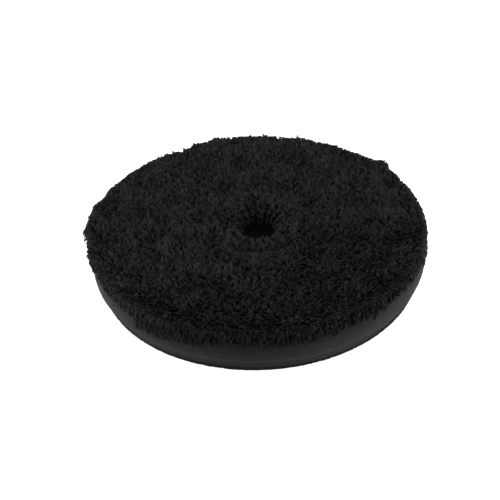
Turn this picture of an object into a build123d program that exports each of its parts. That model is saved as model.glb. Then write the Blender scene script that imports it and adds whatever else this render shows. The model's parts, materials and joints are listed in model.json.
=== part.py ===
"""Round plush microfibre polishing pad for a machine polisher, in millimetres.

The pad is a stack of bonded layers. From the machine side upwards: raised fastening loops, the knit that
holds them, a bond film, a foam disc with a bevelled rear edge, a second bond film, the knit that holds the
pile, and the microfibre pile. One centre hole is punched through all of them.

Origin: the middle of the loop face. +Z points along the hole, towards the polishing face.
"""

from build123d import *
import os

# Diameters
pile_diameter = 150.0
foam_diameter = 146.8
loop_face_diameter = 140.0
centre_hole_diameter = 22.0

# Heights, from the machine side upwards
loop_nap_height = 1.0
loop_knit_thickness = 0.5
rear_film_thickness = 0.2
bevel_top_height = 7.8
foam_top_height = 16.8
front_film_thickness = 0.2
pile_knit_thickness = 0.8
pile_height = 6.2

# Rounding
nap_edge_radius = 0.35
bevel_edge_radius = 1.2
foam_top_edge_radius = 0.6
pile_shoulder_radius = 4.0
pile_underside_radius = 1.7
hole_lip_radius = 4.0

# Worked-out radii and levels
pile_radius = pile_diameter / 2
foam_radius = foam_diameter / 2
loop_face_radius = loop_face_diameter / 2
hole_radius = centre_hole_diameter / 2

loop_knit_bottom = loop_nap_height
rear_film_bottom = loop_knit_bottom + loop_knit_thickness
foam_bottom = rear_film_bottom + rear_film_thickness
front_film_bottom = foam_top_height
pile_knit_bottom = front_film_bottom + front_film_thickness
pile_bottom = pile_knit_bottom + pile_knit_thickness
pile_top = pile_bottom + pile_height

# The bevel runs straight from the edge of the loop face to the foam's full width.
bevel_run = foam_radius - loop_face_radius
bevel_rise = bevel_top_height - loop_knit_bottom


def bevel_radius_at(height):
    """Radius of the bevelled rear edge at a height between the loop knit and the top of the bevel."""
    return loop_face_radius + bevel_run * (height - loop_knit_bottom) / bevel_rise


os.makedirs("parts", exist_ok=True)


# Loop nap: the envelope of the raised loops that a hook backing plate grips
with BuildPart() as loop_nap:
    with BuildSketch(Plane.XY):
        Circle(loop_face_radius)
        Circle(hole_radius, mode=Mode.SUBTRACT)
    extrude(amount=loop_nap_height)
    outer_edge = loop_nap.edges().filter_by(GeomType.CIRCLE).group_by(Axis.Z)[0].sort_by(SortBy.RADIUS)[-1]
    fillet(outer_edge, nap_edge_radius)

loop_nap.part.label = "loop_nap"
export_step(loop_nap.part, "parts/loop_nap.step")


# Loop ground knit: the knitted cloth that the loops are raised from
with BuildPart() as loop_ground_knit:
    with BuildSketch(Plane.XY.offset(loop_knit_bottom)):
        Circle(loop_face_radius)
        Circle(hole_radius, mode=Mode.SUBTRACT)
    extrude(amount=loop_knit_thickness)

loop_ground_knit.part.label = "loop_ground_knit"
export_step(loop_ground_knit.part, "parts/loop_ground_knit.step")


# Rear bond film: joins the loop fabric to the foam
with BuildPart() as rear_bond_film:
    with BuildSketch(Plane.XY.offset(rear_film_bottom)):
        Circle(loop_face_radius)
        Circle(hole_radius, mode=Mode.SUBTRACT)
    extrude(amount=rear_film_thickness)

rear_bond_film.part.label = "rear_bond_film"
export_step(rear_bond_film.part, "parts/rear_bond_film.step")


# Foam interface: the cushion, straight at its upper wall and bevelled in towards the loop face
with BuildPart() as foam_interface:
    with BuildSketch(Plane.XZ):
        with BuildLine():
            Polyline(
                (hole_radius, foam_bottom),
                (bevel_radius_at(foam_bottom), foam_bottom),
                (foam_radius, bevel_top_height),
                (foam_radius, foam_top_height),
                (hole_radius, foam_top_height),
                close=True,
            )
        foam_section = make_face()
        outer_corners = foam_section.vertices().filter_by_position(Axis.X, foam_radius, foam_radius)
        fillet(outer_corners.sort_by(Axis.Z)[0], bevel_edge_radius)
        fillet(outer_corners.sort_by(Axis.Z)[-1], foam_top_edge_radius)
    revolve(axis=Axis.Z)

foam_interface.part.label = "foam_interface"
export_step(foam_interface.part, "parts/foam_interface.step")


# Front bond film: joins the pile cloth to the foam
with BuildPart() as front_bond_film:
    with BuildSketch(Plane.XY.offset(front_film_bottom)):
        Circle(foam_radius - foam_top_edge_radius)
        Circle(hole_radius, mode=Mode.SUBTRACT)
    extrude(amount=front_film_thickness)

front_bond_film.part.label = "front_bond_film"
export_step(front_bond_film.part, "parts/front_bond_film.step")


# Pile ground knit: the knitted cloth that holds the roots of the pile
with BuildPart() as pile_ground_knit:
    with BuildSketch(Plane.XY.offset(pile_knit_bottom)):
        Circle(foam_radius)
        Circle(hole_radius, mode=Mode.SUBTRACT)
    extrude(amount=pile_knit_thickness)

pile_ground_knit.part.label = "pile_ground_knit"
export_step(pile_ground_knit.part, "parts/pile_ground_knit.step")


# Microfibre pile: the envelope of the plush, spread past the foam and rounded over into the hole
with BuildPart() as microfibre_pile:
    with BuildSketch(Plane.XZ):
        with BuildLine():
            Line((hole_radius, pile_bottom), (pile_radius - pile_underside_radius, pile_bottom))
            RadiusArc(
                (pile_radius - pile_underside_radius, pile_bottom),
                (pile_radius, pile_bottom + pile_underside_radius),
                -pile_underside_radius,
            )
            Line((pile_radius, pile_bottom + pile_underside_radius), (pile_radius, pile_top - pile_shoulder_radius))
            RadiusArc(
                (pile_radius, pile_top - pile_shoulder_radius),
                (pile_radius - pile_shoulder_radius, pile_top),
                -pile_shoulder_radius,
            )
            Line((pile_radius - pile_shoulder_radius, pile_top), (hole_radius + hole_lip_radius, pile_top))
            RadiusArc(
                (hole_radius + hole_lip_radius, pile_top),
                (hole_radius, pile_top - hole_lip_radius),
                -hole_lip_radius,
            )
            Line((hole_radius, pile_top - hole_lip_radius), (hole_radius, pile_bottom))
        make_face()
    revolve(axis=Axis.Z)

microfibre_pile.part.label = "microfibre_pile"
export_step(microfibre_pile.part, "parts/microfibre_pile.step")
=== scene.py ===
"""A plush microfibre polishing pad, lying pile side up on a pale floor in soft studio light.

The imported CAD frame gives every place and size. The pile, the foam, the two knitted cloths and the fastening
loops are mesh pieces made here, and the two bond films keep the frame's meshes. Lengths are in millimetres
where pieces are shaped, and in metres in the materials, the camera and the studio.
"""

import json
import math

import bpy
import numpy as np
from mathutils import Matrix, Vector


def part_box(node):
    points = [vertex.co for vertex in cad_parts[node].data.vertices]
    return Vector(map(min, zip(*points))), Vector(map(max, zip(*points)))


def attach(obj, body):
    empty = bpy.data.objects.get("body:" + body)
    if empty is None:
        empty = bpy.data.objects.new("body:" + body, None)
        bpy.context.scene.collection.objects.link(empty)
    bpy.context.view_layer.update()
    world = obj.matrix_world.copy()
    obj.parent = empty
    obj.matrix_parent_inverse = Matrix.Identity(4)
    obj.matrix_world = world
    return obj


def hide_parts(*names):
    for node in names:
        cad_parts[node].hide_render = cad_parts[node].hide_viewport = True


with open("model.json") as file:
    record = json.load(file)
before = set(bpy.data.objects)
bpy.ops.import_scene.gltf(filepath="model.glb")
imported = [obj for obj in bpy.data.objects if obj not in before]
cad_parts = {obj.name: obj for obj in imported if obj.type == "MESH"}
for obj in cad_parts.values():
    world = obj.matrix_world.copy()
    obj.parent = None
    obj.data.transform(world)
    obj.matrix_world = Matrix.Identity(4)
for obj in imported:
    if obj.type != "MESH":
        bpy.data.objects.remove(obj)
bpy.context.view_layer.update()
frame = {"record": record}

MM = 0.001
TURN = 2 * math.pi
GOLDEN_ANGLE = math.radians(137.5)


def level(name, end):
    """Height of a node's lower (end 0) or upper (end 1) side, in mm."""
    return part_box(name)[end].z / MM


def reach(name):
    """Radius of a round node, in mm."""
    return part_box(name)[1].x / MM


HOLE_RADIUS = next(m["dims"]["r_mm"] for m in frame["record"]["mounts"] if m["name"] == "centre_hole")
PAD_TOP = level("microfibre_pile", 1)
PILE_ROOT = level("microfibre_pile", 0)
PILE_RADIUS = reach("microfibre_pile")
CLOTH_RADIUS = reach("pile_ground_knit")
LOOP_RADIUS = reach("loop_nap")
FOAM_RADIUS = reach("foam_interface")
BEVEL_TOP = 7.8

# A knitted stitch is this many times as long as it is wide.
STITCH_SHAPE = 1.4


# Small numpy helpers

def smoothstep(low, high, x):
    t = np.clip((x - low) / (high - low), 0, 1)
    return t * t * (3 - 2 * t)


def soft_field(x, y, size, seed, waves=40):
    """A smooth random field with features about size across, mean 0 and spread 1."""
    rng = np.random.default_rng(seed)
    angle = rng.uniform(0, TURN, waves)
    wave = TURN / size * rng.uniform(0.6, 1.4, waves)
    start = rng.uniform(0, TURN, waves)
    total = np.zeros_like(x)
    for a, k, s in zip(angle, wave, start):
        total += np.cos(k * (x * math.cos(a) + y * math.sin(a)) + s)
    return total * math.sqrt(2 / waves)


def unit(v):
    return v / np.maximum(np.linalg.norm(v, axis=-1, keepdims=True), 1e-9)


def round_from(here, there):
    """The angle from one direction round to another, from minus half a turn to half a turn."""
    return np.angle(np.exp(1j * (there - here)))


def facing(theta, towards, spread):
    """1 where the direction theta is towards degrees round, and falling away over spread degrees each way."""
    off = round_from(math.radians(towards), theta)
    return np.exp(-((off / math.radians(spread)) ** 2))


def polar(x, y):
    return np.hypot(x, y), np.arctan2(y, x)


def outward(x, y):
    """The unit vector from the pad's axis through each point."""
    r = np.hypot(x, y)
    return np.stack([x / r, y / r], axis=1)


def push_out(points, theta, shift):
    """Moves points away from the pad's axis by shift mm."""
    points[..., 0] += shift * np.cos(theta)
    points[..., 1] += shift * np.sin(theta)


def hex_points(pitch, jitter, inner, outer, rng):
    """Points about pitch apart on a ring from inner to outer radius, on a loosened hexagonal grid."""
    n = int(outer / pitch) + 2
    row, column = np.mgrid[-2 * n:2 * n + 1, -n:n + 1]
    x = (column + 0.5 * (row % 2)) * pitch
    y = row * pitch * math.sqrt(3) / 2
    x = x.ravel() + rng.uniform(-jitter, jitter, x.size) * pitch
    y = y.ravel() + rng.uniform(-jitter, jitter, y.size) * pitch
    r = np.hypot(x, y)
    keep = (r > inner) & (r < outer)
    return x[keep], y[keep]


def rows_of_points(inner, outer, pitch, spacing, rng):
    """Points on rings pitch apart, about spacing apart along each ring, both loosened a little."""
    loose_along, loose_across = 0.22, 0.2
    rings = np.linspace(outer, inner, max(2, round((outer - inner) / pitch) + 1))
    x, y = [], []
    for i, r in enumerate(rings):
        count = round(TURN * r / spacing)
        offset = 0.5 * (i % 2) + rng.uniform(-loose_along, loose_along, count)
        theta = (np.arange(count) + offset) * TURN / count
        radius = r + rng.uniform(-loose_across, loose_across, count) * pitch
        x.append(radius * np.cos(theta))
        y.append(radius * np.sin(theta))
    return np.concatenate(x), np.concatenate(y)


# Mesh makers

def mesh_piece(name, points, corners, sizes, material):
    """A mesh object from points in mm, the corner indices of all its faces in a row, and each face's size."""
    me = bpy.data.meshes.new(name)
    me.vertices.add(len(points))
    me.vertices.foreach_set("co", (points * MM).astype(np.float32).ravel())
    me.loops.add(len(corners))
    me.loops.foreach_set("vertex_index", corners.astype(np.int32))
    me.polygons.add(len(sizes))
    starts = np.concatenate([[0], np.cumsum(sizes)[:-1]])
    me.polygons.foreach_set("loop_start", starts.astype(np.int32))
    me.update(calc_edges=True)
    me.validate()
    me.polygons.foreach_set("use_smooth", np.full(len(sizes), True))
    me.materials.append(material)
    piece = bpy.data.objects.new(name, me)
    bpy.context.scene.collection.objects.link(piece)
    return piece


def strand_faces(sides, rings):
    """One closed tapering tube: its faces' corner indices, their sizes, and the corners' map places."""
    quads, quad_uv = [], []
    for s in range(rings - 1):
        for k in range(sides):
            a, b = s * sides + k, s * sides + (k + 1) % sides
            quads.append([a, b, b + sides, a + sides])
            quad_uv.append([[k, s], [k + 1, s], [k + 1, s + 1], [k, s + 1]])
    tip = rings * sides
    tris, tri_uv = [], []
    for k in range(sides):
        a, b = (rings - 1) * sides + k, (rings - 1) * sides + (k + 1) % sides
        tris.append([a, b, tip])
        tri_uv.append([[k, rings - 1], [k + 1, rings - 1], [k + 0.5, rings]])
    tris.append([2, 1, 0])
    tri_uv.append([[2, 0], [1, 0], [0, 0]])
    corners = np.concatenate([np.ravel(quads), np.ravel(tris)])
    sizes = np.array([4] * len(quads) + [3] * len(tris))
    uv = np.concatenate([np.reshape(quad_uv, (-1, 2)), np.reshape(tri_uv, (-1, 2))]) / [sides, rings]
    return corners, sizes, uv


def strands(name, line, radius, turn, tone, material):
    """Closed three-sided tubes, one along each row of line (strand, step, xyz), each ending in a point."""
    count, steps = line.shape[:2]
    sides, rings = 3, steps - 1
    along = unit(np.gradient(line, axis=1))
    across = unit(np.cross(along, np.array([0.31, 0.2, 0.93])))
    third = np.cross(along, across)
    angle = turn[:, None] + np.arange(sides) * TURN / sides
    ring = (
        line[:, :-1, None, :]
        + radius[:, :-1, None, None]
        * (
            np.cos(angle)[:, None, :, None] * across[:, :-1, None, :]
            + np.sin(angle)[:, None, :, None] * third[:, :-1, None, :]
        )
    )
    points = np.concatenate([ring.reshape(count, -1, 3), line[:, -1:, :]], axis=1).reshape(-1, 3)
    per_strand = rings * sides + 1
    pattern, sizes, uv = strand_faces(sides, rings)
    corners = (pattern[None, :] + per_strand * np.arange(count)[:, None]).ravel()
    piece = mesh_piece(name, points, corners, np.tile(sizes, count), material)
    me = piece.data

    # Each strand has its own cell of the map, so that a bake needs no unwrapping.
    grid = math.ceil(math.sqrt(count))
    cell = np.stack([np.arange(count) % grid, np.arange(count) // grid], axis=1)
    inset = 0.1
    placed = (cell[:, None, :] + inset + (1 - 2 * inset) * uv[None, :, :]) / grid
    layer = me.uv_layers.new(name="OFBake")
    layer.data.foreach_set("uv", placed.astype(np.float32).ravel())

    share = np.concatenate([np.repeat(np.arange(rings), sides), [rings]]) / rings
    for label, values in (("tone", np.repeat(tone, per_strand)), ("along", np.tile(share, count))):
        attribute = me.attributes.new(label, "FLOAT", "POINT")
        attribute.data.foreach_set("value", values.astype(np.float32))
    return piece


def lathe(name, profile, segments, reshape, material):
    """A closed ring turned from a closed profile of (radius, height) points, which reshape then moves."""
    profile = np.asarray(profile, float)
    rows = len(profile)
    angle = np.arange(segments) * TURN / segments
    points = np.stack(
        [
            np.cos(angle)[:, None] * profile[None, :, 0],
            np.sin(angle)[:, None] * profile[None, :, 0],
            np.broadcast_to(profile[None, :, 1], (segments, rows)),
        ],
        axis=2,
    )
    reshape(points)
    i, j = np.meshgrid(np.arange(segments), np.arange(rows), indexing="ij")
    i2, j2 = (i + 1) % segments, (j + 1) % rows
    quads = np.stack([i * rows + j, i2 * rows + j, i2 * rows + j2, i * rows + j2], axis=2)
    return mesh_piece(name, points.reshape(-1, 3), quads.ravel(), np.full(segments * rows, 4), material)


def spaced_profile(corners):
    """The closed outline through (radius, height, step) corners, with points about step apart after each."""
    corners = np.asarray(corners, float)
    out = []
    for here, there in zip(corners, np.roll(corners, -1, axis=0)):
        a, b = here[:2], there[:2]
        n = max(1, round(float(np.linalg.norm(b - a)) / here[2]))
        out.append(a + (b - a) * (np.arange(n) / n)[:, None])
    return np.concatenate(out)


# Material helpers

def nodes_of(name):
    mat = bpy.data.materials.new(name)
    mat.use_nodes = True
    tree = mat.node_tree
    shader = next(n for n in tree.nodes if n.type == "BSDF_PRINCIPLED")
    return mat, tree, shader


def node(tree, kind, inputs=None, **settings):
    """A node with its settings made, and its inputs set, or linked to another node's output."""
    n = tree.nodes.new(kind)
    for key, value in settings.items():
        setattr(n, key, value)
    for key, value in (inputs or {}).items():
        if hasattr(value, "is_output"):
            tree.links.new(value, n.inputs[key])
        else:
            n.inputs[key].default_value = value
    return n


def grey(v):
    return (v, v, v, 1.0)


def object_place(tree):
    return node(tree, "ShaderNodeTexCoord").outputs["Object"]


def object_noise(tree, per_metre, detail=3.0, rough=0.5):
    settings = {"Vector": object_place(tree), "Scale": per_metre, "Detail": detail, "Roughness": rough}
    return node(tree, "ShaderNodeTexNoise", settings).outputs["Fac"]


def map_range(tree, value, low, high, start=0.0, end=1.0):
    """Low where value is start, high where it is end, and straight between them."""
    return node(tree, "ShaderNodeMapRange", {0: value, 1: start, 2: end, 3: low, 4: high}).outputs[0]


def arithmetic(tree, operation, *values):
    return node(tree, "ShaderNodeMath", dict(enumerate(values)), operation=operation).outputs[0]


def grey_ramp(tree, value, dark, pale, start=0.0, end=1.0):
    """Dark where value is start, pale where it is end, and greys between them."""
    ramp = node(tree, "ShaderNodeValToRGB", {0: value})
    first, last = ramp.color_ramp.elements[0], ramp.color_ramp.elements[1]
    first.position = start
    first.color = grey(dark)
    last.position = end
    last.color = grey(pale)
    return ramp.outputs[0]


def add_bump(tree, shader, height, strength, distance):
    bump = node(tree, "ShaderNodeBump", {"Height": height, "Strength": strength, "Distance": distance})
    tree.links.new(bump.outputs[0], shader.inputs["Normal"])


# Materials

def microfibre_material():
    """Black split microfibre: each strand has its own tone, and is painted darker towards its root, a painted
    shade where the strands shadow each other.
    """
    mat, tree, shader = nodes_of("microfibre_black")
    tone = node(tree, "ShaderNodeAttribute", attribute_name="tone").outputs["Fac"]
    along = node(tree, "ShaderNodeAttribute", attribute_name="along").outputs["Fac"]
    mixed = arithmetic(tree, "ADD", tone, object_noise(tree, 60.0))
    # Painted shade: each strand is darker towards its root.
    root_shade = map_range(tree, along, 0.35, 1.03, start=0.25)
    shade = arithmetic(tree, "MULTIPLY", mixed, root_shade)
    tree.links.new(grey_ramp(tree, shade, 0.0008, 0.0118, start=0.32), shader.inputs["Base Color"])
    grain = object_noise(tree, 2600.0, detail=2.0)
    tree.links.new(map_range(tree, grain, 0.5, 0.75), shader.inputs["Roughness"])
    add_bump(tree, shader, grain, 0.35, 0.0001)
    shader.inputs["Specular IOR Level"].default_value = 0.11
    shader.inputs["Sheen Weight"].default_value = 0.02
    shader.inputs["Sheen Roughness"].default_value = 0.45
    return mat


def bed_material():
    """The near black of the lower pile between the tufts, a painted shade: darker than the strands themselves.
    """
    mat, tree, shader = nodes_of("lower_pile_painted_shade")
    noise = object_noise(tree, 900.0)
    tree.links.new(grey_ramp(tree, noise, 0.0008, 0.003), shader.inputs["Base Color"])
    add_bump(tree, shader, noise, 0.8, 0.0005)
    shader.inputs["Roughness"].default_value = 0.95
    shader.inputs["Specular IOR Level"].default_value = 0.2
    return mat


def foam_material():
    """Charcoal open-cell foam: fine cells as dark pits between paler walls."""
    mat, tree, shader = nodes_of("foam_charcoal")
    place = object_place(tree)
    cells = node(
        tree, "ShaderNodeTexVoronoi", {"Vector": place, "Scale": 2300.0}, feature="DISTANCE_TO_EDGE"
    )
    walls = map_range(tree, cells.outputs["Distance"], 1.0, 0.0, end=0.35)
    mottle = object_noise(tree, 230.0)
    shade = arithmetic(tree, "ADD", arithmetic(tree, "MULTIPLY", walls, 0.35), mottle)
    plain = grey_ramp(tree, shade, 0.0067, 0.0140, start=0.3, end=0.9)

    # A thin paler band round the bevel's upper edge, a painted highlight.
    height = node(tree, "ShaderNodeSeparateXYZ", {0: place}).outputs["Z"]
    off = arithmetic(tree, "SUBTRACT", height, (BEVEL_TOP - 0.5) * MM)
    distance = arithmetic(tree, "ABSOLUTE", off)
    edge = map_range(tree, distance, 0.24, 0.0, start=0.0003, end=0.0025)
    first_colour, second_colour, mixed_colour = 6, 7, 2
    colour_with_painted_highlight = node(
        tree,
        "ShaderNodeMix",
        {"Factor": edge, first_colour: plain, second_colour: grey(0.040)},
        data_type="RGBA",
    ).outputs[mixed_colour]

    # Under the fringe the wall is painted darker towards the pile, a painted shade from the fringe's overhang.
    painted_fringe_shade = map_range(tree, height, 1.0, 0.05, start=0.0100, end=0.0172)
    wall_with_painted_shade = node(tree, "ShaderNodeVectorMath", {0: colour_with_painted_highlight, "Scale": painted_fringe_shade}, operation="SCALE")
    tree.links.new(wall_with_painted_shade.outputs[0], shader.inputs["Base Color"])
    tree.links.new(map_range(tree, mottle, 0.72, 0.9), shader.inputs["Roughness"])
    add_bump(tree, shader, walls, 0.6, 0.00012)
    shader.inputs["Specular IOR Level"].default_value = 0.14
    shader.inputs["Sheen Weight"].default_value = 0.06
    shader.inputs["Sheen Roughness"].default_value = 0.25
    return mat


def knit_material(name, per_metre, dark, pale):
    """Fine knitted ground: rows of stitches crossing at right angles, with slight unevenness."""
    mat, tree, shader = nodes_of(name)
    place = object_place(tree)
    wave_scale = per_metre * TURN / 20

    def rows(scale, direction):
        settings = {"Vector": place, "Scale": scale, "Distortion": 0.6, "Detail": 1.0}
        return node(tree, "ShaderNodeTexWave", settings, bands_direction=direction).outputs["Fac"]

    stitch = arithmetic(tree, "MULTIPLY", rows(wave_scale, "X"), rows(wave_scale / STITCH_SHAPE, "Y"))
    uneven = object_noise(tree, 500.0)
    shade = arithmetic(tree, "ADD", stitch, uneven)
    tree.links.new(grey_ramp(tree, shade, dark, pale, start=0.35), shader.inputs["Base Color"])
    tree.links.new(map_range(tree, uneven, 0.75, 0.95), shader.inputs["Roughness"])
    add_bump(tree, shader, stitch, 0.7, 0.0002)
    shader.inputs["Specular IOR Level"].default_value = 0.2
    return mat


def loop_material():
    """Black nylon loop thread, slightly glossier than the pile."""
    mat, tree, shader = nodes_of("loop_thread_black")
    tone = node(tree, "ShaderNodeAttribute", attribute_name="tone").outputs["Fac"]
    tree.links.new(grey_ramp(tree, tone, 0.006, 0.020), shader.inputs["Base Color"])
    grain = object_noise(tree, 3500.0, detail=2.0)
    tree.links.new(map_range(tree, grain, 0.4, 0.62), shader.inputs["Roughness"])
    add_bump(tree, shader, grain, 0.3, 0.00006)
    shader.inputs["Specular IOR Level"].default_value = 0.35
    return mat


def film_material():
    """Thin hot-melt film: dark, and slightly mottled where it has flowed."""
    mat, tree, shader = nodes_of("bond_film_dark")
    flow = object_noise(tree, 260.0, detail=4.0, rough=0.6)
    colour = grey_ramp(tree, flow, 0.006, 0.014, start=0.35, end=0.70)
    tree.links.new(colour, shader.inputs["Base Color"])
    tree.links.new(map_range(tree, flow, 0.45, 0.7), shader.inputs["Roughness"])
    add_bump(tree, shader, flow, 0.3, 0.00005)
    shader.inputs["Specular IOR Level"].default_value = 0.25
    return mat


# The pile's outline

FACE_PITCH, RIM_PITCH, HOLE_PITCH = 1.16, 0.86, 0.76
RIM_SPACING, HOLE_SPACING = 1.32, 2.3
FACE_JITTER = 0.30
HOLE_ZONE, RIM_ZONE = 17.5, 65.0
PILE_FLAT = PAD_TOP - 0.3
BED_TOP = PILE_ROOT + 3.6
RIM_CORNER, RIM_DROP = 2.2, 5.9
HOLE_CORNER, HOLE_DROP = 5.2, 3.4
HOLE_MOUTH = HOLE_RADIUS - 3.2
RIM_END = PILE_RADIUS - RIM_CORNER + RIM_CORNER * math.pi / 2 + RIM_DROP
HOLE_END = HOLE_MOUTH + HOLE_CORNER - HOLE_CORNER * math.pi / 2 - HOLE_DROP


def outer_tip(q, swell):
    """Radius, height and slope at length q along the outline: over the face, round the rim and down."""
    turn_at = PILE_RADIUS - RIM_CORNER
    a = np.clip((q - turn_at) / RIM_CORNER, 0, math.pi / 2)
    down = np.maximum(q - turn_at - RIM_CORNER * math.pi / 2, 0)
    draw_in, clearance = 0.03, 0.6
    turned = smoothstep(0, 1.2, a)
    r = np.minimum(q, turn_at) + RIM_CORNER * np.sin(a) + swell * turned - draw_in * down**2
    r = np.where(down > 0, np.maximum(r, FOAM_RADIUS + clearance), r)
    z = PILE_FLAT - RIM_CORNER * (1 - np.cos(a)) - down
    return r, z, a


def inner_tip(q):
    """Radius, height and slope at length q along the outline: in over the face and down into the hole."""
    turn_at = HOLE_MOUTH + HOLE_CORNER
    a = np.clip((turn_at - q) / HOLE_CORNER, 0, math.pi / 2)
    down = np.maximum(turn_at - HOLE_CORNER * math.pi / 2 - q, 0)
    draw_in = 0.2
    r = np.maximum(q, turn_at) - HOLE_CORNER * np.sin(a) - draw_in * down
    z = PILE_FLAT - HOLE_CORNER * (1 - np.cos(a)) - down
    return r, z, a


def make_locks(count, rng):
    """Rounded locks of fibre side by side round the rim: the direction, half width and height of each."""
    middle = (np.arange(count) + rng.uniform(-0.35, 0.35, count)) * TURN / count
    half = rng.uniform(0.55, 1.05, count) * TURN / count
    return middle, half, rng.uniform(0.3, 2.2, count)


LOCKS = make_locks(46, np.random.default_rng(5))


def lock_shape(theta):
    """How far the locks stand out at each direction, and the way to the middle of the lock there, in mm."""
    best = np.zeros_like(theta)
    inward = np.zeros_like(theta)
    for middle, half, height in zip(*LOCKS):
        off = round_from(middle, theta)
        stand = height * np.sqrt(np.clip(1 - (off / half) ** 2, 0, 1))
        own = stand > best
        best = np.where(own, stand, best)
        inward = np.where(own, -off * PILE_RADIUS, inward)
    return best, inward


# The pad's own long bulges and hollows round the rim: how far it stands out in mm, the direction in degrees,
# and over how many degrees each way.
BULGES = [
    (1.9, 98, 12),
    (5.0, 38, 4),
    (0.9, 142, 14),
    (2.0, 170, 17),
    (2.6, 104, 2),
    (1.6, 130, 3),
    (1.4, 153, 4),
    (-2.7, 53, 9),
    (-1.5, 6, 24),
    (-3.8, 121, 6),
    (-3.3, 78, 4),
    (-1.3, 16, 5),
    (1.8, 165, 3),
    (1.1, 180, 2),
    (1.5, -167, 2),
    (-1.0, -172, 2),
    (1.2, 171, 2),
]
RIM_INSET = 1.9

# The longer and shorter stretches of the fringe, in the same way.
FRINGE_LOBES = [(4.0, -117, 7.5), (1.2, -80, 7), (3.0, -51, 1.2), (1.8, -13, 7), (0.9, -68, 5)]
FRINGE_GAPS = [(-0.6, -31, 9), (-1.6, -160, 9)]
FRINGE_EXTRA = 0.7
MATTED_LENGTH = 5.6


def sum_facing(theta, shapes):
    return sum(size * facing(theta, towards, spread) for size, towards, spread in shapes)


def rim_swell(theta):
    """How far the rim stands out beyond the pile's plain radius: the locks and the bulges."""
    return sum_facing(theta, BULGES) + lock_shape(theta)[0] - RIM_INSET


def hang(theta):
    """How much further the fringe hangs down the foam than its plain length, in mm."""
    degrees = np.degrees(theta)
    matted = smoothstep(-137.5, -134, degrees) * (1 - smoothstep(-132, -118, degrees))
    return MATTED_LENGTH * matted + sum_facing(theta, FRINGE_LOBES + FRINGE_GAPS) + FRINGE_EXTRA


# The tufts

RIM_CLUMPS, HOLE_CLUMPS = 136, 19
ROOT_LIFT = 0.1
TIP_LEAN, SHOULDER_BACK, SHOULDER_DROP = 1.25, 0.95, 0.75
WAVY, KNOBBLY = 12, 4.2


def nap_side(x, y):
    """1 where the nap lies back, -1 where it lies forward, and a soft line between, in front of the hole."""
    line = -39 + 33 * smoothstep(0, 25, x) + 3 * soft_field(x, y, 22, 12)
    return 2 * smoothstep(-13, 13, y - line) - 1


def nap_lean(x, y, rng):
    """Which way and how far each tuft leans, in mm: with the nap, in soft patches, and a little at random."""

    def lean(with_nap, broad_seed, fine_seed):
        patches = 0.50 * soft_field(x, y, 17, broad_seed) + 0.50 * soft_field(x, y, 5, fine_seed)
        return with_nap * nap_side(x, y) + patches + 0.55 * rng.normal(size=len(x))

    return np.stack([lean(-0.30, 1, 2), lean(0.62, 3, 4)], axis=1)


def clumps(theta, count, rng):
    """How far round each tuft is from the middle of its clump, and that clump's own number from -1 to 1."""
    share = rng.uniform(0.45, 1.55, count)
    edge = np.cumsum(share) / share.sum() * TURN
    middle = edge - 0.5 * share / share.sum() * TURN
    index = np.searchsorted(edge, theta % TURN) % count
    return round_from(theta, middle[index]), rng.uniform(-1, 1, count)[index]


def pile_tone(x, y, rng):
    # Random tone, with a little painted light: tufts where the nap lies back are painted paler, as its sheen,
    # and darker where it lies forward.
    return 0.48 + 0.10 * soft_field(x, y, 6, 9) + 0.24 * rng.normal(size=len(x)) + 0.05 * nap_side(x, y)


def tuft_roots(x, y):
    return np.stack([x, y, np.full(len(x), PILE_ROOT + ROOT_LIFT)], axis=1)


def face_tufts(x, y, rng):
    """Tufts that rise from the cloth and lean with the nap, each with its own small disorder."""
    n = len(x)
    lean = nap_lean(x, y, rng)
    mound = 0.20 * soft_field(x, y, WAVY, 5) + 0.20 * soft_field(x, y, KNOBBLY, 6)
    mound = mound + 0.18 * rng.normal(size=n)
    r, theta = polar(x, y)
    groove = np.exp(-(((r - 19.8) / 1.8) ** 2)) * facing(theta, -95, 55)
    place = np.stack([x, y], axis=1) + TIP_LEAN * lean
    height = PILE_FLAT + mound - 2.2 * groove
    tip = np.concatenate([place, height[:, None]], axis=1)
    root = tuft_roots(x, y)
    rise = root + np.array([0, 0, 3.2])
    shoulder = tip - np.concatenate([SHOULDER_BACK * lean, np.full((n, 1), SHOULDER_DROP)], axis=1)
    width = FACE_PITCH * np.clip(0.50 + 0.08 * rng.normal(size=n), 0.34, 0.7)
    # The tufts in the groove are also painted darker, a painted shade in the groove.
    return (root, rise, shoulder, tip), width, pile_tone(x, y, rng) - 0.35 * groove


def edge_curves(x, y, radius, height, slope, side, comb, spread, rng):
    """Curves of tufts laid over the outline's shoulder and down; side is 1 at the rim, -1 at the hole."""
    out = outward(x, y)
    along = np.stack([-out[:, 1], out[:, 0]], axis=1)
    root = tuft_roots(x, y)
    flat = (1 - smoothstep(0.15, 0.9, slope))[:, None]
    lean = flat * nap_lean(x, y, rng)
    place = out * radius[:, None] + along * spread[:, None] + TIP_LEAN * lean
    tip = np.concatenate([place, height[:, None]], axis=1)
    drop = np.maximum(PILE_FLAT + 0.15 - height, 0.4) / np.maximum(np.sin(slope), 0.25)
    back = np.minimum(comb, drop)
    shoulder = tip.copy()
    inner = out * (side * np.cos(slope) * back)[:, None] + along * (0.3 * spread)[:, None]
    shoulder[:, :2] -= (1 - flat) * inner
    shoulder[:, :2] -= SHOULDER_BACK * lean
    shoulder[:, 2] += np.sin(slope) * back - SHOULDER_DROP * flat[:, 0]
    rise = root + np.array([0, 0, 1.0]) * (1.0 + 0.45 * (shoulder[:, 2:3] - root[:, 2:3]))
    rise[:, :2] += 0.25 * (shoulder[:, :2] - root[:, :2])
    return root, rise, shoulder, tip


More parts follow.
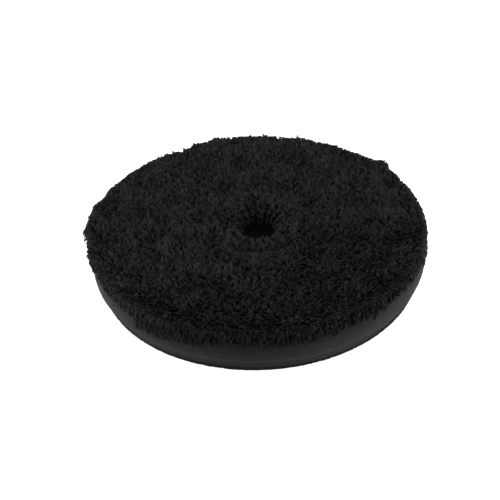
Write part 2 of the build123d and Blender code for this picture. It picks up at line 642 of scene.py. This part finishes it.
def rim_tufts(x, y, rng):
    """Tufts that lie over the rim in rounded locks and hang down the foam as a fringe of uneven clumps."""
    n = len(x)
    r, theta = polar(x, y)
    share = np.clip((r - RIM_ZONE) / (CLOTH_RADIUS - RIM_ZONE), 0, 1)
    stand, inward = lock_shape(theta)
    away, own = clumps(theta, RIM_CLUMPS, rng)
    length = RIM_END - CLOTH_RADIUS + hang(theta) + 1.0 * (stand - 1.0) + 0.9 * own
    q = r + length * share**1.15 + 0.2 * rng.normal(size=n)
    radius, height, slope = outer_tip(q, rim_swell(theta))
    lock_height = 0.3 * (stand - 1.0)
    height = height + (lock_height + 0.2 * soft_field(x, y, KNOBBLY, 6)) * (1 - slope / math.pi)
    height = height + 0.2 * soft_field(x, y, WAVY, 5) * (1 - share)
    gather = smoothstep(0.62, 0.95, share)
    radius = radius + 0.3 * gather * np.abs(rng.normal(size=n))
    spread = 0.12 * inward * share + 0.5 * gather * away * radius
    spread += (0.28 + 0.5 * gather) * rng.normal(size=n)
    comb = 4.2 - 2.2 * gather + 0.5 * rng.normal(size=n)
    width = (0.72 - 0.08 * gather) * np.clip(1 + 0.14 * rng.normal(size=n), 0.7, 1.35)
    # Tufts towards the rim's edge, which lie over it and hang down the foam, are painted darker, a painted
    # shade; each clump also has its own tone.
    tone = pile_tone(x, y, rng) - 0.45 * share + 0.16 * own
    return edge_curves(x, y, radius, height, slope, 1.0, comb, spread, rng), width, tone


def hole_tufts(x, y, rng):
    """Tufts that bend over the hole's edge, gathered there into separate fingers that hang down its wall."""
    n = len(x)
    r, theta = polar(x, y)
    share = np.clip((HOLE_ZONE - r) / (HOLE_ZONE - HOLE_RADIUS), 0, 1)
    gather = smoothstep(0.12, 0.5, share)
    away, own = clumps(theta, HOLE_CLUMPS, rng)
    length = (HOLE_RADIUS - HOLE_END) * share**1.6 + 1.2 * own * share
    q = r - length + 0.4 * rng.normal(size=n)
    radius, height, slope = inner_tip(q)
    height = height + 0.25 * soft_field(x, y, KNOBBLY, 6) - 0.1 * share
    spread = 0.9 * gather * away * radius + (0.35 - 0.2 * gather) * rng.normal(size=n)
    comb = 4.2 + 0.5 * rng.normal(size=n)
    width = (0.78 - 0.22 * gather) * np.clip(1 + 0.16 * rng.normal(size=n), 0.7, 1.35)
    # The fingers gathered over the hole's edge are painted paler, a painted light on them where they hang into
    # the hole's shade.
    tone = pile_tone(x, y, rng) + 0.3 * gather
    return edge_curves(x, y, radius, height, slope, -1.0, comb, spread, rng), width, tone


def bundle(curve, width, tone, rng, count, steps, start, close, kink):
    """Each tuft as count strands packed round its axis, each kinked by about kink mm.

    They begin at the share start of the tuft's length. Its end is narrower than its middle, by the share
    close.
    """
    n = len(width)
    order = np.arange(count)
    place = np.tile(np.sqrt((order + 0.5) / count), n) * (1 + 0.08 * rng.normal(size=n * count))
    turn = np.tile(order * GOLDEN_ANGLE, n) + np.repeat(rng.uniform(0, TURN, n), count)
    end = 1 - 0.16 * place**2 + 0.04 * rng.normal(size=n * count)
    share = np.linspace(0, 1, steps)[None, :]
    t = (start + (end[:, None] - start) * share)[..., None]
    a, b, c, d = (np.repeat(v, count, axis=0)[:, None, :] for v in curve)
    axis = (1 - t) ** 3 * a + 3 * t * (1 - t) ** 2 * b + 3 * t**2 * (1 - t) * c + t**3 * d
    slope = unit((1 - t) ** 2 * (b - a) + 2 * t * (1 - t) * (c - b) + t**2 * (d - c))
    side_one = unit(np.cross(slope, np.array([0.6, -0.5, 0.2])))
    side_two = np.cross(slope, side_one)
    twist = np.repeat(rng.normal(0, 0.8, n), count)
    angle = turn[:, None] + twist[:, None] * share
    dome = 1 - close * smoothstep(0.45, 1.0, share)
    away = np.repeat(width, count)[:, None] * place[:, None] * dome
    around = np.cos(angle)[..., None] * side_one + np.sin(angle)[..., None] * side_two
    line = axis + away[..., None] * around
    line = line + kink * rng.normal(size=line.shape) * (0.3 + share[..., None])
    base = np.repeat(width, count) / math.sqrt(count) * rng.uniform(0.70, 1.0, n * count)
    taper = np.interp(np.linspace(0, 1, steps), [0, 0.55, 0.9, 1], [0.9, 1.0, 0.8, 0.3])
    tone = np.repeat(tone, count) + 0.26 * rng.normal(size=n * count)
    return line, base[:, None] * taper[None, :], rng.uniform(0, TURN, n * count), tone


def make_pile():
    """The three zones of tufts, each cut into sectors so that no piece is too heavy."""
    rng = np.random.default_rng(11)
    hole = rows_of_points(HOLE_RADIUS + 0.4, HOLE_ZONE, HOLE_PITCH, HOLE_SPACING, rng)
    face = hex_points(FACE_PITCH, FACE_JITTER, HOLE_ZONE - 0.6, RIM_ZONE, rng)
    rim = rows_of_points(RIM_ZONE, CLOTH_RADIUS - 0.3, RIM_PITCH, RIM_SPACING, rng)
    hole_shape = {"count": 14, "steps": 6, "start": 0.0, "close": 0.45, "kink": 0.06}
    face_shape = {"count": 7, "steps": 4, "start": 0.36, "close": 0.55, "kink": 0.06}
    rim_shape = {"count": 9, "steps": 5, "start": 0.1, "close": 0.5, "kink": 0.055}
    zones = [
        ("pile_hole_tufts", hole_tufts(*hole, rng), hole_shape, 1),
        ("pile_face_tufts", face_tufts(*face, rng), face_shape, 7),
        ("pile_rim_tufts", rim_tufts(*rim, rng), rim_shape, 5),
    ]
    for name, tufts, shape, sectors in zones:
        line, thick, turn, tone = bundle(*tufts, rng, **shape)
        where = np.arctan2(line[:, 0, 1], line[:, 0, 0])
        index = np.floor((where + math.pi) / TURN * sectors).astype(int) % sectors
        for i in range(sectors):
            own = index == i
            label = f"{name}_{i + 1}" if sectors > 1 else name
            piece = strands(label, line[own], thick[own], turn[own], tone[own], microfibre)
            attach(piece, "root")
            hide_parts("microfibre_pile")


def make_bed():
    """The dense lower pile, painted near black as the shade between the tufts, following their outline from
    inside.
    """
    under_rim, under_hole = 1.1, 2.6
    beyond, short, face_step = 1.5, 1.2, 1.3
    hole_q = np.linspace(HOLE_END + short, HOLE_MOUTH + HOLE_CORNER + beyond, 9)
    r, z, a = inner_tip(hole_q)
    inner = np.stack([r + under_hole * np.sin(a), z - under_hole * np.cos(a)], axis=1)
    inner[:, 1] = np.minimum(inner[:, 1], BED_TOP)
    rim_q = np.linspace(PILE_RADIUS - RIM_CORNER - beyond, RIM_END - short, 11)
    r, z, a = outer_tip(rim_q, np.zeros_like(rim_q))
    outer = np.stack([r - under_rim * np.sin(a), z - under_rim * np.cos(a)], axis=1)
    outer[:3, 1] = BED_TOP
    face = [(q, BED_TOP) for q in np.arange(inner[-1, 0] + face_step, outer[0, 0], face_step)]
    low = PILE_ROOT + 0.02
    foot = [(CLOTH_RADIUS - 0.5, low), (HOLE_RADIUS + 0.4, low)]
    outline = np.concatenate([inner, face, outer, foot])

    def roughen(p):
        r, theta = polar(p[..., 0], p[..., 1])
        top = smoothstep(PILE_ROOT + 0.5, BED_TOP, p[..., 2])
        p[..., 2] += 0.25 * top * soft_field(p[..., 0], p[..., 1], 3.2, 31)
        push_out(p, theta, rim_swell(theta) * smoothstep(CLOTH_RADIUS - 3, PILE_RADIUS - under_rim, r))

    piece = lathe("pile_underlayer", outline, 720, roughen, bed_look)
    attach(piece, "root")
    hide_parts("microfibre_pile")


# The foam

def make_foam():
    """The foam disc: a crisp upper edge, a soft edge above the bevel, and a finely pitted wall."""
    low, high = level("foam_interface", 0), level("foam_interface", 1)
    base = LOOP_RADIUS + 0.4
    cell, hidden = 0.46, 6.0
    outline = spaced_profile(
        [
            (HOLE_RADIUS, low, hidden),
            (base, low, cell),
            (FOAM_RADIUS - 0.75, BEVEL_TOP - 0.95, cell),
            (FOAM_RADIUS + 0.1, BEVEL_TOP - 0.15, cell),
            (FOAM_RADIUS + 0.12, BEVEL_TOP + 0.15, cell),
            (FOAM_RADIUS, BEVEL_TOP + 0.7, cell),
            (FOAM_RADIUS, high - 0.06, 0.1),
            (FOAM_RADIUS - 0.06, high, 0.5),
            (FOAM_RADIUS - 1.5, high, hidden),
            (HOLE_RADIUS, high, 1.0),
        ]
    )

    def pit(p):
        r, theta = polar(p[..., 0], p[..., 1])
        wall = smoothstep(FOAM_RADIUS - 5, FOAM_RADIUS - 3.2, r)
        wave = 0.10 * soft_field(np.cos(theta) * 30, np.sin(theta) * 30 + p[..., 2], 18, 41)
        pits = 0.05 * np.random.default_rng(42).normal(size=r.shape)
        push_out(p, theta, wall * (wave + pits))

    piece = lathe("foam_disc", outline, 960, pit, foam_look)
    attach(piece, "root")
    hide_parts("foam_interface")


# The two knitted cloths and the fastening loops

def make_cloth(label, replaced, stitch, look):
    """A thin knitted disc with a centre hole, its faces ribbed by the stitches and its cut edges scalloped.

    Its flat width, in metres, and its flat area, in square metres, come back with it.
    """
    low, high = level(replaced, 0), level(replaced, 1)
    radius = reach(replaced)
    top, bottom = high - 0.06, low + 0.04
    across = np.arange(HOLE_RADIUS + 0.25, radius - 0.2, 1.0)
    upper = [(r, top) for r in across]
    lower = [(r, bottom) for r in across[::-1]]
    middle = (top + bottom) / 2
    outline = np.array(upper + [(radius - 0.05, middle)] + lower + [(HOLE_RADIUS + 0.05, middle)])

    def knit(p):
        r, theta = polar(p[..., 0], p[..., 1])
        side = np.sign(p[..., 2] - middle)
        rib = np.cos(TURN * p[..., 0] / stitch) * np.cos(TURN * p[..., 1] / (STITCH_SHAPE * stitch))
        p[..., 2] += side * 0.05 * rib
        at_edge = smoothstep(radius - 0.8, radius - 0.1, r)
        push_out(p, theta, 0.12 * np.cos(theta * round(TURN * radius / stitch)) * at_edge)

    piece = lathe(label, outline, 720, knit, look)
    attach(piece, "root")
    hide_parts(replaced)
    flat = 2 * radius * MM
    area = math.pi * (radius**2 - HOLE_RADIUS**2) * MM**2
    return piece, flat, area


def make_loops():
    """The hook-catching face: small standing thread loops in rows, their feet in the knitted ground."""
    rng = np.random.default_rng(23)
    ground = level("loop_ground_knit", 0)
    pitch, jitter, edge_pitch, thread, foot = 1.45, 0.22, 1.25, 0.095, 0.12
    x, y = hex_points(pitch, jitter, HOLE_RADIUS + 1.4, LOOP_RADIUS - 1.2, rng)
    for edge in (LOOP_RADIUS - 0.5, HOLE_RADIUS + 0.7):
        turns = np.arange(0, TURN, edge_pitch / edge)
        x = np.append(x, edge * np.cos(turns))
        y = np.append(y, edge * np.sin(turns))
    n = len(x)
    steps = 8
    t = np.linspace(0, 1, steps)[None, :]
    heading = rng.normal(0, 0.55, n)[:, None]
    height = rng.uniform(0.62, 0.86, n)[:, None]
    span = rng.uniform(0.55, 0.85, n)[:, None]
    lean = (0.35 + 0.25 * rng.normal(size=n))[:, None]
    arch = np.sin(math.pi * t)
    along = -0.5 * span * np.cos(math.pi * t) * (1 + 0.7 * arch)
    aside = lean * arch + 0.12 * (t - 0.5)
    line = np.stack(
        [
            x[:, None] + along * np.cos(heading) - aside * np.sin(heading),
            y[:, None] + along * np.sin(heading) + aside * np.cos(heading),
            ground + foot - (height + foot) * arch**0.8,
        ],
        axis=2,
    )
    thick = np.full((n, steps), thread)
    tone = np.clip(0.5 + 0.15 * soft_field(x, y, 9, 51) + 0.15 * rng.normal(size=n), 0, 1)
    turn = rng.uniform(0, TURN, n)
    for i, own in enumerate([y <= 0, y > 0]):
        piece = strands(f"loop_thread_{i + 1}", line[own], thick[own], turn[own], tone[own], loop_look)
        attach(piece, "root")
        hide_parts("loop_nap")


def make_loop_bed():
    """The brushed lower threads that the loops stand out of, frayed round the cut edge."""
    ground = level("loop_ground_knit", 0)
    low = ground - 0.55
    inner_edge = [(HOLE_RADIUS + 0.3, ground - 0.2)]
    lower = [(r, low) for r in np.arange(HOLE_RADIUS + 0.9, LOOP_RADIUS - 1.6, 0.9)]
    frayed = [
        (LOOP_RADIUS - 0.8, ground - 0.85),
        (LOOP_RADIUS + 0.1, ground - 0.96),
        (LOOP_RADIUS + 0.5, ground - 0.7),
        (LOOP_RADIUS + 0.5, ground - 0.1),
        (LOOP_RADIUS + 0.3, ground + 0.5),
        (LOOP_RADIUS - 0.5, ground + 0.5),
    ]
    inner_top = [(HOLE_RADIUS + 0.5, ground + 0.05)]
    outline = np.array(inner_edge + lower + frayed + inner_top)[::-1]
    above_floor = 0.02

    def brush(p):
        below = smoothstep(ground - 0.2, low, p[..., 2])
        p[..., 2] += below * 0.09 * soft_field(p[..., 0], p[..., 1], 2.4, 61)
        p[..., 2] = np.maximum(p[..., 2], above_floor)

    piece = lathe("loop_underlayer", outline, 720, brush, loop_bed_look)
    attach(piece, "root")
    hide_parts("loop_nap")


# The camera and the studio

def make_camera():
    """The camera, at the viewing angle of a table-top product picture."""
    distance = 0.597
    elevation = math.radians(37.24)
    roll = math.radians(2.59)
    focal = 95.5
    aim = Vector((-0.0040, 0.0124, 0.0))
    place = Vector((0, -distance * math.cos(elevation), distance * math.sin(elevation)))
    data = bpy.data.cameras.new("view")
    data.lens = focal
    data.sensor_width = 36.0
    data.clip_start = 0.02
    data.clip_end = 50.0
    camera = bpy.data.objects.new("view", data)
    bpy.context.scene.collection.objects.link(camera)
    look = (aim - place).to_track_quat("-Z", "Y").to_matrix().to_4x4()
    camera.matrix_world = Matrix.Translation(place) @ look @ Matrix.Rotation(-roll, 4, "Z")
    bpy.context.scene.camera = camera


def floor_material():
    """A white floor that glows, a painted light that lights the pad from its sides more than from the front;
    the glow dims close to the pad, a painted contact shadow.
    """
    mat, tree, shader = nodes_of("floor_pale")
    shader.inputs["Base Color"].default_value = grey(0.6)
    shader.inputs["Roughness"].default_value = 0.9
    shader.inputs["Emission Color"].default_value = grey(1.0)
    place = object_place(tree)
    away = node(tree, "ShaderNodeVectorMath", {0: place}, operation="LENGTH").outputs["Value"]
    glow = map_range(tree, away, 0.2, 1.0, start=0.062, end=0.074)
    shifted = arithmetic(tree, "ADD", node(tree, "ShaderNodeSeparateXYZ", {0: place}).outputs["X"], 0.004)
    aside = arithmetic(tree, "ABSOLUTE", shifted)
    bounce = map_range(tree, aside, 0.10, 1.2, start=0.04, end=0.12)
    seen = node(tree, "ShaderNodeLightPath").outputs["Is Camera Ray"]
    share = map_range(tree, seen, bounce, 1.0)
    tree.links.new(arithmetic(tree, "MULTIPLY", glow, share), shader.inputs["Emission Strength"])
    return mat


def make_floor():
    half = 3.0
    floor = bpy.data.meshes.new("floor")
    corners = [(-half, -half, 0), (half, -half, 0), (half, half, 0), (-half, half, 0)]
    floor.from_pydata(corners, [], [(0, 1, 2, 3)])
    floor.materials.append(floor_material())
    plane = bpy.data.objects.new("floor", floor)
    bpy.context.scene.collection.objects.link(plane)


def make_world():
    """White behind everything that the camera sees, and a faint white light from all round."""
    world = bpy.data.worlds.new("studio")
    world.use_nodes = True
    tree = world.node_tree
    back = next(n for n in tree.nodes if n.type == "BACKGROUND")
    seen = node(tree, "ShaderNodeLightPath").outputs["Is Camera Ray"]
    back.inputs["Color"].default_value = grey(1.0)
    tree.links.new(map_range(tree, seen, 0.08, 1.0), back.inputs["Strength"])
    bpy.context.scene.world = world


def softbox(name, place, size, power):
    """A round soft lamp that faces the pad."""
    data = bpy.data.lights.new(name, "AREA")
    data.shape = "DISK"
    data.size = size
    data.energy = power
    lamp = bpy.data.objects.new(name, data)
    lamp.location = place
    lamp.rotation_euler = (-Vector(place)).to_track_quat("-Z", "Y").to_euler()
    bpy.context.scene.collection.objects.link(lamp)


def make_studio():
    make_floor()
    make_world()
    softbox("overhead", (-0.15, 0.35, 1.3), 1.4, 13.0)
    softbox("key_back_left", (-0.9, 0.7, 0.7), 0.8, 7.0)
    softbox("side_right", (1.08, -0.29, 0.32), 0.6, 19.0)
    softbox("side_left", (-1.1, -0.20, 0.30), 0.6, 15.0)
    softbox("front_fill", (0.1, -0.55, 1.15), 0.5, 4.5)
    bpy.context.scene.view_settings.view_transform = "Standard"


# The build

make_camera()
microfibre = microfibre_material()
bed_look = bed_material()
make_pile()
make_bed()

foam_look = foam_material()
make_foam()

pile_cloth, pile_flat, pile_area = make_cloth(
    label="pile_backing_cloth",
    replaced="pile_ground_knit",
    stitch=1.0,
    look=knit_material("pile_knit_black", 1000.0, 0.003, 0.010),
)
loop_cloth, loop_flat, loop_area = make_cloth(
    label="loop_backing_cloth",
    replaced="loop_ground_knit",
    stitch=0.8,
    look=knit_material("loop_knit_black", 1250.0, 0.004, 0.013),
)

loop_look = loop_material()
loop_bed_look = knit_material("loop_underlayer_black", 1400.0, 0.002, 0.007)
make_loops()
make_loop_bed()

film_look = film_material()
for film in ("rear_bond_film", "front_bond_film"):
    for slot in bpy.data.objects[film].material_slots:
        slot.material = film_look

make_studio()
